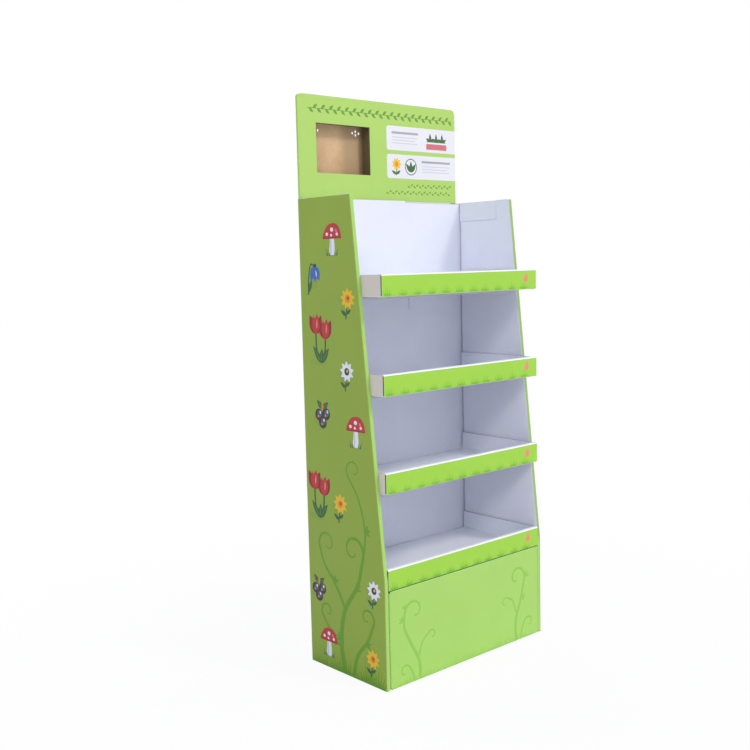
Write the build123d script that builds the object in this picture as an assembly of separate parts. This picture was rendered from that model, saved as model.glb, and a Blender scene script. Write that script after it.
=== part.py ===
"""Free-standing shelf display of folded corrugated board: four lipped trays between two double-wall
side panels, with a header card and a screen box on top. Millimetres, +Z up, front towards -Y."""
import math
import os

from build123d import *

# Board
BOARD = 4.0            # thickness of the corrugated board
KRAFT_BOARD = 3.0      # thickness of the thinner brown board of the screen box
SLIP = 0.2             # clearance between layers and pieces that slide into each other
FOLD_R = 3.2           # outer rounding of a fold
OVERCUT = 1.0          # a cut reaches this far past the face it starts from
HOLLOW = BOARD + 2 * SLIP      # gap between the two plies of a double wall
WALL = 2 * BOARD + HOLLOW      # thickness of a double wall

# Stand
WIDTH = 600.0          # over the two side panels
DEPTH = 300.0          # of a side panel at its foot
SIDE_TOP_DEPTH = 204.0         # depth of a side panel at its top
BASE_H = 254.5         # top of the base, underside of the lowest tray
KNEE_RISE = 24.5       # above the base a side panel's front edge starts to lean back
TRAY_PITCH = 242.6     # from tray to tray
TRAY_COUNT = 4
TOP_SPACE = 250.7      # from the highest tray's underside to the top of the side panels
HEADER_H = 267.0       # of the header card above the side panels

# Side panels
INNER_PLY_GAP = 7.0    # gap between a side panel's inner ply and the back panel's inner ply
TOP_FLAP_W = 141.0     # tuck flap over the top edge, along the depth
TOP_FLAP_GAP = 2.5     # between the tuck flap and the back panel's inner ply
TOP_FLAP_H = 54.0      # how far the tuck flap hangs down inside
CUT_GAP = 0.8          # gap round a flap in its cut-out
FOLD_STRIP = 30.0      # stretch of both plies that is drawn together with the front fold

# Back panel
BACK_FLANGE = 40.0     # side flange that is glued into the hollow of a side panel
BACK_STEP_X = 68.0     # place of the step in the inner ply's top edge
BACK_RISE = 2.0        # left of the step the inner ply stands this far over the side panels
BACK_DROP = 4.0        # right of the step it ends this far below them

# Trays
LIP_H = 55.0           # height of the front lip
TRAY_SIDE_H = 53.5     # height of a tray's side walls
CORNER_FLAP = 60.0     # side wall's corner flap inside the hollow lip
REAR_TAB_X = 74.0      # inner end of a tray's rear tab
REAR_TAB_W = 167.0
REAR_TAB_H = 51.0
LOCK_TABS = 3          # tabs of the lip's inner ply that lock into slots in the floor
LOCK_TAB_W = 60.0
LOCK_TAB_PITCH = 180.0
REAR_SLIT_L = 45.0     # slit beside a side wall at the back of the floor
REAR_SLIT_W = 3.0
REAR_SLIT_INSET = 8.0  # from the floor's back edge to the slit
TRAY_PLAY = 0.3        # clearance between a tray and the wall beside it

# Shelf supports, flat two-ply boards under the upper trays
SUPPORT_DEPTH = 170.0
SUPPORT_SET_BACK = 3.0         # behind the side panel's front edge at that height
SUPPORT_TAB_W = 40.0
SUPPORT_TAB_INSET = 18.0       # from a support's front or rear edge to its tab
SUPPORT_TAB_L = 7.5            # how far a tab reaches beyond the tray space

# Base
FRONT_PROUD = 1.0      # the base panel's face stands this far in front of the side panels
BASE_SIDE_GAP = 1.2    # gap between the base panel and a side panel
BASE_FLANGE = 60.0     # top and bottom flanges of the base panel
BASE_SIDE_FLANGE = 40.0
FLANGE_GAP = 1.0       # between the flanges that meet in a corner
DIVIDER_X = 143.0      # places of the two cross dividers, left and right of the middle
DIVIDER_PLAY = 0.4     # extra width of the half-lap slots

# Header card
HEADER_RIGHT = 23.0    # the card's right end stops this far inside the right side panel
HEADER_SEAM = 0.2      # between its two plies
HEADER_CORNER_R = 15.0
WINDOW_W = 186.0
WINDOW_H = 128.0
WINDOW_X = -148.0      # middle of the window
WINDOW_TOP = 70.5      # from the card's top edge
TONGUE_H = 80.0        # tongue that slides into the back panel
TONGUE_INSET = 22.0    # from the card's ends to the tongue
TONGUE_TAPER = 10.0

# Screen box behind the window
SCREEN_MARGIN = 3.0    # the box's hollow is wider than the window by this on each side
SCREEN_DEPTH = 24.0    # hollow depth behind the card
SCREEN_FLANGE = 20.0
HOLE_D = 7.5
HOLE_SPAN = 30.0       # width of a diamond of four holes
HOLE_RISE = 17.0       # its height
HOLE_GROUP_X = 71.0    # from the window's middle to a group
HOLE_GROUP_DROP = 14.0         # from the window's top edge to a group

# Places that follow from the sizes above
TRAY_Z = [BASE_H + i * TRAY_PITCH for i in range(TRAY_COUNT)]
SIDE_H = TRAY_Z[-1] + TOP_SPACE          # top of the side panels
STAND_H = SIDE_H + HEADER_H              # top of the header card
KNEE_H = BASE_H + KNEE_RISE
X_OUT = WIDTH / 2
X_IN = X_OUT - WALL                      # inner face of a side panel
SCREEN_OUT = SCREEN_DEPTH + KRAFT_BOARD  # how far the screen box stands out behind
Y_FRONT = (FRONT_PROUD - DEPTH - SCREEN_OUT) / 2
Y_BACK = Y_FRONT + DEPTH
Y_INNER_BACK = Y_BACK - WALL             # front face of the back panel's inner ply
LEAN = (DEPTH - SIDE_TOP_DEPTH) / (SIDE_H - KNEE_H)
TRAY_X = X_IN - TRAY_PLAY
TRAY_REAR = Y_INNER_BACK - SLIP
SUPPORT_T = 2 * BOARD + SLIP
HEADER_FRONT = Y_BACK - 2 * BOARD - HEADER_SEAM
HEADER_END = X_OUT - HEADER_RIGHT


def side_front(z):
    """Depth position of a side panel's front edge at height z."""
    return Y_FRONT + max(0.0, z - KNEE_H) * LEAN


def block(x0, x1, y0, y1, z0, z1):
    """Rectangular region between two corners, used for cuts and flat layers."""
    centre = Pos((x0 + x1) / 2, (y0 + y1) / 2, (z0 + z1) / 2)
    return centre * Box(x1 - x0, y1 - y0, z1 - z0)


def folded(path, plane, low, high, board=BOARD, radius=FOLD_R):
    """Folded sheet: path is its middle line in the plane, drawn out from low to high along the normal.

    The outside of every fold is rounded and the inside is left sharp, as creased board is.
    """
    half = board / 2
    points = [Vector(*p) for p in path]
    runs = [(b - a).normalized() for a, b in zip(points, points[1:])]
    left = [points[0] + half * Vector(-runs[0].Y, runs[0].X)]
    right = [points[0] - half * Vector(-runs[0].Y, runs[0].X)]
    outer = []
    for point, before, after in zip(points[1:], runs, runs[1:]):
        normal = Vector(-before.Y, before.X) + Vector(-after.Y, after.X)
        miter = normal * (half / (1 + before.dot(after)))
        left.append(point + miter)
        right.append(point - miter)
        turns_left = before.X * after.Y - before.Y * after.X > 0
        outer.append(point - miter if turns_left else point + miter)
    left.append(points[-1] + half * Vector(-runs[-1].Y, runs[-1].X))
    right.append(points[-1] - half * Vector(-runs[-1].Y, runs[-1].X))
    corners = [(p.X, p.Y) for p in left + right[::-1]]
    face = make_face(Polyline(*corners, close=True))
    rounded = [v for v in face.vertices() if any((Vector(v) - p).length < 1e-6 for p in outer)]
    if rounded:
        face = fillet(rounded, radius)
    return extrude(plane.offset(low) * face, high - low)


# Section planes, seen so that the first path number is X or Y and the second is Y or Z
PLAN = Plane.XY
ALONG_Y = Plane(origin=(0, 0, 0), x_dir=(1, 0, 0), z_dir=(0, -1, 0))
ALONG_X = Plane(origin=(0, 0, 0), x_dir=(0, 1, 0), z_dir=(1, 0, 0))


def along_y(path, y0, y1, **kind):
    """Folded sheet with its path in X and Z, drawn out from y0 to y1."""
    return folded(path, ALONG_Y, -y1, -y0, **kind)


def single(shape):
    """The one solid of a finished piece."""
    solids = shape.solids()
    if len(solids) != 1:
        raise ValueError(f"expected one solid, got {len(solids)}")
    return solids[0]


def side_panel():
    """Right side: a double wall folded from one sheet round its leaning front edge, with a tuck flap on top."""
    outer = X_OUT - BOARD / 2
    inner = X_IN + BOARD / 2
    turn = Y_FRONT + BOARD / 2
    strip_end = Y_FRONT + FOLD_STRIP
    foot = folded([(outer, strip_end), (outer, turn), (inner, turn), (inner, strip_end)], PLAN, 0, KNEE_H)
    section = foot.faces().sort_by(Axis.Z)[-1]
    panel = foot + extrude(section, amount=(SIDE_H - KNEE_H) * math.hypot(1, LEAN), dir=(0, LEAN, 1))
    set_in = FOLD_STRIP - FOLD_R
    for x, rear in ((outer, Y_BACK), (inner, Y_INNER_BACK - INNER_PLY_GAP)):
        outline = Polyline((Y_FRONT + set_in, 0), (rear, 0), (rear, SIDE_H), (side_front(SIDE_H) + set_in, SIDE_H),
                           (Y_FRONT + set_in, KNEE_H), close=True)
        panel += extrude(ALONG_X.offset(x - BOARD / 2) * make_face(outline), BOARD)
    flap_rear = Y_INNER_BACK - TOP_FLAP_GAP
    flap_front = flap_rear - TOP_FLAP_W
    panel -= block(X_OUT - BOARD - OVERCUT, X_OUT + OVERCUT, flap_front, flap_rear, SIDE_H - 2 * BOARD,
                   SIDE_H + OVERCUT)
    panel -= block(X_IN - OVERCUT, X_IN + BOARD + SLIP, flap_front - CUT_GAP, Y_BACK, SIDE_H - TOP_FLAP_H - CUT_GAP,
                   SIDE_H + OVERCUT)
    flap = [(outer, SIDE_H - 3 * BOARD), (outer, SIDE_H - BOARD / 2), (inner, SIDE_H - BOARD / 2),
            (inner, SIDE_H - TOP_FLAP_H)]
    panel += along_y(flap, flap_front, flap_rear)
    half = SUPPORT_TAB_W / 2 + SLIP
    for z in TRAY_Z[1:]:
        for y in support_tabs(z):
            panel -= block(X_IN - OVERCUT, X_IN + BOARD + SLIP, y - half, y + half, z - SUPPORT_T, z + 2 * SLIP)
    return single(panel)


def back_panel():
    """Double back: outer ply with side flanges, folded up at the foot into an inner ply with a stepped top."""
    outer = Y_BACK - BOARD / 2
    inner = Y_INNER_BACK + BOARD / 2
    flange_x = X_OUT - BOARD - SLIP - BOARD / 2
    plan = [(-flange_x, Y_BACK - BACK_FLANGE), (-flange_x, outer), (flange_x, outer),
            (flange_x, Y_BACK - BACK_FLANGE)]
    rear = folded(plan, PLAN, FOLD_R + FLANGE_GAP, SIDE_H)
    edge = flange_x - BOARD / 2 - SLIP
    free = SIDE_H - BOARD - 2 * SLIP
    result = rear - block(-X_OUT, X_OUT, Y_BACK - BACK_FLANGE - OVERCUT, Y_BACK - BOARD, free, SIDE_H + OVERCUT)
    for x0, x1, top in ((-edge, BACK_STEP_X, SIDE_H + BACK_RISE), (BACK_STEP_X, edge, SIDE_H - BACK_DROP)):
        section = [(outer, SIDE_H / 2), (outer, BOARD / 2), (inner, BOARD / 2), (inner, top)]
        result += folded(section, ALONG_X, x0, x1)
    return single(result)


def support_front(z):
    """Front edge of the support under the tray at height z."""
    return side_front(z) + SUPPORT_SET_BACK


def support_tabs(z):
    """Depth positions of the middles of a support's front and rear tabs."""
    reach = SUPPORT_TAB_INSET + SUPPORT_TAB_W / 2
    return support_front(z) + reach, support_front(z) + SUPPORT_DEPTH - reach


def shelf_support(z):
    """Sheet folded flat to two plies along its front edge, with tabs for the slots in the side panels."""
    front = support_front(z)
    rear = front + SUPPORT_DEPTH
    low = z - SUPPORT_T + BOARD / 2
    high = z - BOARD / 2
    path = [(rear, low), (front + BOARD / 2, low), (front + BOARD / 2, high), (rear, high)]
    reach = X_IN + SUPPORT_TAB_L
    support = folded(path, ALONG_X, -reach, reach)
    body = X_IN - TRAY_PLAY
    half = SUPPORT_TAB_W / 2
    first, second = support_tabs(z)
    beyond = reach + OVERCUT
    for y0, y1 in ((front - OVERCUT, first - half), (first + half, second - half), (second + half, rear + OVERCUT)):
        for x0, x1 in ((-beyond, -body), (body, beyond)):
            support -= block(x0, x1, y0, y1, z - SUPPORT_T - OVERCUT, z + OVERCUT)
    return single(support)


def shelf_tray():
    """Tray with its floor's underside at zero, folded from one sheet: floor, side walls, hollow lip, rear tabs."""
    outer = Y_FRONT + BOARD / 2
    inner = Y_FRONT + WALL - BOARD / 2
    floor = BOARD / 2
    top = LIP_H - BOARD / 2
    between = TRAY_X - BOARD - SLIP
    floor_end = TRAY_REAR - BOARD
    lip = [(floor_end, floor), (outer, floor), (outer, top), (inner, top), (inner, BOARD + SLIP)]
    tray = folded(lip, ALONG_X, -between, between)
    end = [(outer, FOLD_R), (outer, top), (inner + BOARD / 2, top)]
    for x0, x1 in ((-TRAY_X, -between), (between, TRAY_X)):
        tray += folded(end, ALONG_X, x0, x1)
    side = TRAY_X - BOARD / 2
    wall_front = Y_FRONT + WALL + SLIP
    walls = [(-side, TRAY_SIDE_H), (-side, floor), (side, floor), (side, TRAY_SIDE_H)]
    tray += along_y(walls, wall_front, floor_end)
    flap_y = Y_FRONT + WALL / 2
    for sign in (-1, 1):
        ends = [(sign * (TRAY_X - CORNER_FLAP), flap_y), (sign * side, flap_y), (sign * side, wall_front + BOARD)]
        tray += folded(ends, PLAN, BOARD + SLIP, LIP_H - BOARD - SLIP)
        slit = sorted((sign * between, sign * (between - REAR_SLIT_W)))
        slit_end = floor_end - REAR_SLIT_INSET
        tray -= block(*slit, slit_end - REAR_SLIT_L, slit_end, -OVERCUT, BOARD + OVERCUT)
    tail = TRAY_REAR - BOARD / 2
    for x in (-REAR_TAB_X - REAR_TAB_W, REAR_TAB_X):
        tab = [(floor_end - BOARD, floor), (tail, floor), (tail, -REAR_TAB_H)]
        tray += folded(tab, ALONG_X, x, x + REAR_TAB_W)
    for i in range(LOCK_TABS):
        x = (i - (LOCK_TABS - 1) / 2) * LOCK_TAB_PITCH
        half = LOCK_TAB_W / 2
        tray -= block(x - half - SLIP, x + half + SLIP, inner - BOARD / 2 - SLIP, inner + BOARD / 2 + SLIP, -OVERCUT,
                      BOARD)
        tray += block(x - half, x + half, inner - BOARD / 2, inner + BOARD / 2, 0, 2 * BOARD)
    return single(tray)


def base_front_panel():
    """Front of the base: a face with rounded folds to two side flanges and to a top and a bottom flange."""
    face_y = Y_FRONT - FRONT_PROUD + BOARD / 2
    side = X_IN - BASE_SIDE_GAP - BOARD / 2
    plan = [(-side, face_y + BASE_SIDE_FLANGE), (-side, face_y), (side, face_y), (side, face_y + BASE_SIDE_FLANGE)]
    panel = folded(plan, PLAN, BOARD + FLANGE_GAP, BASE_H - BOARD - FLANGE_GAP)
    low = BOARD / 2
    high = BASE_H - BOARD / 2
    section = [(face_y + BASE_FLANGE, low), (face_y, low), (face_y, high), (face_y + BASE_FLANGE, high)]
    panel += folded(section, ALONG_X, -side + FOLD_R, side - FOLD_R)
    return single(panel)


def base_divider_long():
    """Divider across the width inside the base, slotted from above for the two cross dividers."""
    y = (Y_FRONT + Y_BACK) / 2
    half = X_IN - TRAY_PLAY
    divider = block(-half, half, y - BOARD / 2, y + BOARD / 2, 0, BASE_H)
    slot = BOARD / 2 + DIVIDER_PLAY / 2
    for x in (-DIVIDER_X, DIVIDER_X):
        divider -= block(x - slot, x + slot, y - BOARD, y + BOARD, BASE_H / 2, BASE_H + OVERCUT)
    return single(divider)


def base_divider_cross(x):
    """Divider from front to back inside the base, slotted from below and notched for the base panel's flanges."""
    middle = (Y_FRONT + Y_BACK) / 2
    front = Y_FRONT - FRONT_PROUD + BOARD + SLIP
    rear = TRAY_REAR - BOARD - SLIP
    flange_end = Y_FRONT - FRONT_PROUD + BOARD / 2 + BASE_FLANGE + SLIP
    deep = BOARD + SLIP
    outline = Polyline((flange_end, 0), (rear, 0), (rear, BASE_H), (flange_end, BASE_H), (flange_end, BASE_H - deep),
                       (front, BASE_H - deep), (front, deep), (flange_end, deep), close=True)
    divider = extrude(ALONG_X.offset(x - BOARD / 2) * make_face(outline), BOARD)
    slot = BOARD / 2 + DIVIDER_PLAY / 2
    divider -= block(x - BOARD, x + BOARD, middle - slot, middle + slot, -OVERCUT, BASE_H / 2)
    return single(divider)


def header_card():
    """Printed card folded to two plies round its left end, with a window and a tongue for the back panel."""
    front = HEADER_FRONT + BOARD / 2
    rear = Y_BACK - BOARD / 2
    path = [(HEADER_END, front), (-X_OUT + BOARD / 2, front), (-X_OUT + BOARD / 2, rear), (HEADER_END, rear)]
    card = folded(path, PLAN, SIDE_H, STAND_H)
    height = STAND_H - SIDE_H
    plate = Rectangle(HEADER_END + X_OUT, height)
    plate = fillet(plate.vertices().group_by(Axis.Y)[-1], HEADER_CORNER_R)
    centre = Pos((HEADER_END - X_OUT) / 2, SIDE_H + height / 2)
    card = card & extrude(ALONG_Y.offset(-Y_BACK - OVERCUT) * centre * plate, DEPTH)
    top = STAND_H - WINDOW_TOP
    left = WINDOW_X - WINDOW_W / 2
    right = WINDOW_X + WINDOW_W / 2
    card -= block(left, right, HEADER_FRONT - OVERCUT, Y_BACK + OVERCUT, top - WINDOW_H, top)
    wide = SCREEN_MARGIN
    card -= block(left - wide, right + wide, rear - BOARD / 2 - HEADER_SEAM / 2, Y_BACK + OVERCUT,
                  top - WINDOW_H - wide, top + wide)
    x0 = -X_OUT + TONGUE_INSET
    x1 = HEADER_END - TONGUE_INSET
    tongue = Polyline((x0, SIDE_H + BOARD), (x1, SIDE_H + BOARD), (x1, SIDE_H),
                      (x1 - TONGUE_TAPER, SIDE_H - TONGUE_H), (x0 + TONGUE_TAPER, SIDE_H - TONGUE_H), (x0, SIDE_H),
                      close=True)
    card += extrude(ALONG_Y.offset(-HEADER_FRONT - BOARD) * make_face(tongue), BOARD)
    return single(card)


def screen_box():
    """Shallow brown box on the back of the header card, its glue flanges turned out, with two groups of holes."""
    board = KRAFT_BOARD
    half_w = WINDOW_W / 2 + SCREEN_MARGIN + board / 2
    half_h = WINDOW_H / 2 + SCREEN_MARGIN + board / 2
    mid_z = STAND_H - WINDOW_TOP - WINDOW_H / 2
    flange_y = Y_BACK + board / 2
    floor_y = Y_BACK + SCREEN_DEPTH + board / 2
    radius = board * FOLD_R / BOARD
    x0 = WINDOW_X - half_w
    x1 = WINDOW_X + half_w
    z0 = mid_z - half_h
    z1 = mid_z + half_h
    plan = [(x0 - SCREEN_FLANGE, flange_y), (x0, flange_y), (x0, floor_y), (x1, floor_y), (x1, flange_y),
            (x1 + SCREEN_FLANGE, flange_y)]
    box = folded(plan, PLAN, z0 + board / 2, z1 - board / 2, board=board, radius=radius)
    section = [(flange_y, z0 - SCREEN_FLANGE), (flange_y, z0), (floor_y, z0), (floor_y, z1), (flange_y, z1),
               (flange_y, z1 + SCREEN_FLANGE)]
    box += folded(section, ALONG_X, x0, x1, board=board, radius=radius)
    hole_z = STAND_H - WINDOW_TOP - HOLE_GROUP_DROP
    for group in (-HOLE_GROUP_X, HOLE_GROUP_X):
        for dx, dz in ((0, 1), (0, -1), (1, 0), (-1, 0)):
            x = WINDOW_X + group + dx * (HOLE_SPAN - HOLE_D) / 2
            z = hole_z + dz * (HOLE_RISE - HOLE_D) / 2
            box -= Pos(x, floor_y, z) * Rot(90, 0, 0) * Cylinder(HOLE_D / 2, 4 * board)
    return single(box)


def build():
    """All the pieces, by node name."""
    side = side_panel()
    tray = shelf_tray()
    parts = {
        "left_side_panel": side.mirror(Plane.YZ),
        "right_side_panel": side,
        "back_panel": back_panel(),
        "header_card": header_card(),
        "screen_box": screen_box(),
        "base_front_panel": base_front_panel(),
        "base_divider_long": base_divider_long(),
        "base_divider_left": base_divider_cross(-DIVIDER_X),
        "base_divider_right": base_divider_cross(DIVIDER_X),
    }
    for i, z in enumerate(TRAY_Z, 1):
        parts[f"shelf_tray_{i}"] = Pos(0, 0, z) * tray
        if i > 1:
            parts[f"shelf_support_{i}"] = shelf_support(z)
    return parts


os.makedirs("parts", exist_ok=True)
for name, shape in build().items():
    export_step(shape, f"parts/{name}.step")
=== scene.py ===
"""Dresses a folded corrugated display stand: printed paper on its outside, fluted cut edges and the board's
finish, with a plain studio and the camera. Artwork is laid out flat on each blank and folded with it.

Lengths are millimetres until a mesh is written, where MM turns them into Blender's metres.
"""
import math

import bpy
import numpy as np
from bpy.props import FloatProperty, FloatVectorProperty, IntProperty, PointerProperty
from mathutils import Matrix, Vector, geometry


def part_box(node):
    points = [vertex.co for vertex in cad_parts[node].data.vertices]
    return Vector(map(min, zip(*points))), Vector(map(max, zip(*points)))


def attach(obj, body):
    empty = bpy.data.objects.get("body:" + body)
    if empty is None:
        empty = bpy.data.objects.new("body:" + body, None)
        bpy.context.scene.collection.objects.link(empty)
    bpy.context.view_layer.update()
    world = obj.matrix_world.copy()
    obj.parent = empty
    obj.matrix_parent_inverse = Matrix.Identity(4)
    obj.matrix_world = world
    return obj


bl_info = {
    "name": "Cardboard display stand",
    "version": (1, 0, 0),
    "blender": (4, 5, 0),
    "location": "View3D > Sidebar > Display stand",
    "description": "Printed paper, fluted edges, board finishes and studio for a folded display stand",
    "category": "Object",
}

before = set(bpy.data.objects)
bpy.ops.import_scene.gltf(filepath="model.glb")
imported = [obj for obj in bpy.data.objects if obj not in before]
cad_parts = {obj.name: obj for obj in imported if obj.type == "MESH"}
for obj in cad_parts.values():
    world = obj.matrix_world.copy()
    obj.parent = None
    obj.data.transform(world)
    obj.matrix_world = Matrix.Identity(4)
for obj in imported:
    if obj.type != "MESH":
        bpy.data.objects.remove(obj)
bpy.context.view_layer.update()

MM = 0.001
RIGHT, BACK, UP = np.eye(3)


def box(node):
    """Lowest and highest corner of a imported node, in millimetres."""
    low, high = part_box(node)
    return np.array(low) / MM, np.array(high) / MM


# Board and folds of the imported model
BOARD = 4.0
THIN_BOARD = 3.0
FOLD_R = 3.2
WALL = 12.4            # double wall of a side panel or a lip
SLIP = 0.2
KNEE_H = 279.0         # the side panels' front edge leans back above this height
SIDE_TOP_DEPTH = 204.0
FLAP_W = 141.0         # tuck flap on top of a side panel
FLAP_GAP = 2.5
LIP_H = 55.0
TRAY_SIDE_H = 53.5
BACK_STEP_X = 68.0     # step in the top edge of the back's inner ply
BACK_STEP_H = (2.0, -4.0)      # that edge's height over the side panels' top, left and right of the step
HEADER_CORNER_R = 15.0
WINDOW = (-241.0, -55.0, 1301.5, 1429.5)
WINDOW_MARGIN = 3.0    # the opening in the card's rear ply is larger by this
BOX_CORNER = 23.0      # notch at each corner of the screen box's rim
SLIT_W = 3.0           # slit beside a tray's side wall, at the back of the floor
SLIT_L = 45.0

# Printed paper
SHORT = 0.2            # it ends this far below the side panels' top
CREASE = 1.2           # its ink is cracked this far beyond a fold
FOLD_LINES = 5         # lines that divide it across each fold
PAST = 5               # how far fold lines and grounds are drawn past its outline

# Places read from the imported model
SIDE_LOW, SIDE_HIGH = box("right_side_panel")
X_OUT = SIDE_HIGH[0]
X_IN = X_OUT - WALL
Y_FRONT = SIDE_LOW[1]
Y_BACK = SIDE_HIGH[1]
DEPTH = Y_BACK - Y_FRONT
SIDE_H = SIDE_HIGH[2]
LEAN = (DEPTH - SIDE_TOP_DEPTH) / (SIDE_H - KNEE_H)
HEADER_X, _, STAND_H = box("header_card")[1]
HEADER_FRONT = Y_BACK - 2 * BOARD - SLIP
BASE_LOW, BASE_HIGH = box("base_front_panel")
SCREEN_LOW, SCREEN_HIGH = box("screen_box")
TRAYS = sorted(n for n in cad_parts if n.startswith("shelf_tray"))
TRAY_X, TRAY_REAR, _ = box(TRAYS[0])[1]
SLIT_X = TRAY_X - BOARD - SLIP
SLIT_REAR = TRAY_REAR - BOARD - 8.0

# Camera, solved from the stand's corners in the photograph
CAMERA_PLACE = (-1935.1, -1986.3, 1067.2)
CAMERA_AZIMUTH = 0.7263        # radians that the view turns from +Y towards +X
CAMERA_PITCH = 0.1101          # radians below the horizon
CAMERA_ROLL = -0.0240
FOCAL_PIXELS = 1023.4
IMAGE_PIXELS = 750
SENSOR = 36.0


def linear(code):
    """sRGB hex code to linear red, green and blue."""
    values = np.array([int(code[i:i + 2], 16) for i in (0, 2, 4)]) / 255
    return tuple(np.where(values <= 0.04045, values / 12.92, ((values + 0.055) / 1.055) ** 2.4).tolist())


def length(name, description, millimetres):
    """Length property that shows in metres and is read with size()."""
    return FloatProperty(name=name, description=description, default=millimetres * MM, min=0, precision=5,
                         unit="LENGTH")


def colour(name, description, code):
    """Colour property with an sRGB hex code as its default."""
    return FloatVectorProperty(name=name, description=description, default=linear(code), size=3, min=0, max=1,
                               subtype="COLOR")


class StandSizes(bpy.types.PropertyGroup):
    """Sizes of the paper, the fluting and the printed borders."""

    paper: length("Paper", "How far the printed paper stands proud of the board", 0.1)
    liner: length("Liner", "Thickness of the liners and the fluting paper as drawn at cut edges", 0.4)
    relief: length("Relief", "How far the paper stands proud at a cut edge", 0.25)
    flute_pitch: length("Flute pitch", "From crest to crest of the fluting in the 4 mm board", 7.9)
    thin_flute_pitch: length("Thin board's flute pitch", "From crest to crest in the 3 mm board", 6.4)
    wrap: length("Wrap", "How far the print ends before the inner side of the side panels' front folds", 3.2)
    lip_margin: length("Lip margin", "Unprinted strip along the top of a lip", 0.4)
    tuft_pitch: length("Tuft pitch", "From tuft to tuft of the grass border on a lip", 50.0)
    tuft_height: length("Tuft height", "Tallest blades of the border on a lip", 24.0)
    seed: IntProperty(name="Seed", description="Varies the grass", default=7, min=0)


class StandColours(bpy.types.PropertyGroup):
    """Inks and papers."""

    lime: colour("Lime", "Ground of the base and of the side panels' front folds", "AAD76A")
    header: colour("Header green", "Ground of the header", "B2D96B")
    edge: colour("Edge green", "Shaded outer rounding of the right side panel's front fold", "98BC62")
    side: colour("Side green", "Ground of the side panels", "9AB542")
    # Painted shade: the side panels' ground is a darker copy of the lime, standing in for the shade on their
    # faces
    lip: colour("Lip green", "Ground of the lips", "A2D744")
    grass: colour("Grass", "Grass border on the lips", "78BF26")
    vine: colour("Vine", "Vines and grass on the side panels", "70A628")
    faint: colour("Faint vine", "Vines and grass on the base", "94CA54")
    forest: colour("Forest", "Dark green of stalks and leaves", "3E6B3A")
    shade: colour("Shade", "Soft printed shadow beside the side panels' motifs", "93AF42")
    red: colour("Red", "Flowers and caps", "C93C3A")
    wine: colour("Wine", "Shaded side of red petals and caps", "9C2B2E")
    amber: colour("Amber", "Middles of flowers and small dots", "F0912E")
    blue: colour("Blue", "Bells", "4A73B8")
    slate: colour("Slate", "Lit side of berries", "5C6470")
    coral: colour("Coral", "Buds and lit edges", "F08E7E")
    yellow: colour("Yellow", "Flowers", "F2C92E")
    charcoal: colour("Charcoal", "Berries and flower centres", "3A3D45")
    pale: colour("Pale", "Unprinted paper", "F6F7FB")
    white: colour("White", "The header's white fields", "EEEEF2")
    grey: colour("Grey", "Thin bars on the white fields", "D3D6DC")
    stone: colour("Stone", "Wider bars on the white fields", "A9ACB0")
    moss: colour("Moss", "Leaves on the header's green", "6F9C3E")
    rose: colour("Rose", "Bar on a white field", "D9737A")


def size(key):
    """A length of the settings, in millimetres."""
    return getattr(bpy.context.scene.stand_sizes, key) / MM


def draws(offset):
    """Random numbers from the settings' seed, with a row of their own for each offset."""
    return np.random.default_rng(bpy.context.scene.stand_sizes.seed + offset)


# Flat outlines, as arrays of points


def turned(points, angle, x=0.0, z=0.0):
    """Points turned by an angle in degrees about zero, then moved to (x, z)."""
    a = math.radians(angle)
    turn = np.array([[math.cos(a), math.sin(a)], [-math.sin(a), math.cos(a)]])
    return points @ turn + (x, z)


def oval(x, z, rx, rz, angle=0, steps=20):
    """Ellipse: x = rx cos t, z = rz sin t."""
    t = np.linspace(0, 2 * np.pi, steps, endpoint=False)
    return turned(np.stack([rx * np.cos(t), rz * np.sin(t)], 1), angle, x, z)


def leaf(x, z, reach, width, angle, steps=9):
    """Leaf from its stalk at (x, z): half width = width / 2 times sin(pi t^0.8) over its reach."""
    t = np.linspace(0, 1, steps)
    upper = np.stack([t * reach, width / 2 * np.sin(np.pi * t ** 0.8)], 1)
    return turned(np.concatenate([upper, upper[-2:0:-1] * (1, -1)]), angle, x, z)


def across_line(line):
    """Unit vectors at right angles to a line of points, on its left."""
    step = np.gradient(line, axis=0)
    return step[:, ::-1] * (-1, 1) / np.hypot(*step.T)[:, None]


def ribbon(line, width_start, width_end):
    """Band along a line of points, its half width falling evenly from start to end, at right angles to it."""
    line = np.array(line, float)
    side = across_line(line) * np.linspace(width_start, width_end, len(line))[:, None] / 2
    return np.concatenate([line + side, (line - side)[::-1]])


def smooth_line(points, steps=12):
    """Catmull-Rom curve: each span between points is the cubic with the neighbours' chord as its slope."""
    p = np.array(points, float)
    p = np.concatenate([[2 * p[0] - p[1]], p, [2 * p[-1] - p[-2]]])
    t = np.linspace(0, 1, steps, endpoint=False)[:, None]
    a, b, c, d = p[:-3, None], p[1:-2, None], p[2:-1, None], p[3:, None]
    spans = b + 0.5 * t * (c - a + t * (2 * a - 5 * b + 4 * c - d + t * (3 * (b - c) + d - a)))
    return np.concatenate([spans.reshape(-1, 2), p[-2:-1]])


def stalk(points, width_start, width_end):
    """Band along the smooth line through the points."""
    return ribbon(smooth_line(points), width_start, width_end)


def tendril(points, radius, sweep, steps=40):
    """Stem through the points that goes on into a spiral without a kink.

    The spiral turns through sweep degrees, to the left where that is positive, and its radius is the given
    one times 1 - 0.8 t^1.3.
    """
    stem = smooth_line(points)
    heading = stem[-1] - stem[-2]
    side = math.copysign(1, sweep) * np.array([-heading[1], heading[0]]) / np.hypot(*heading)
    t = np.linspace(0, 1, steps)[1:]
    a = math.atan2(-side[1], -side[0]) + math.radians(sweep) * t
    r = radius * (1 - 0.8 * t ** 1.3)
    return np.concatenate([stem, stem[-1] + radius * side + np.stack([r * np.cos(a), r * np.sin(a)], 1)])


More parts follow.
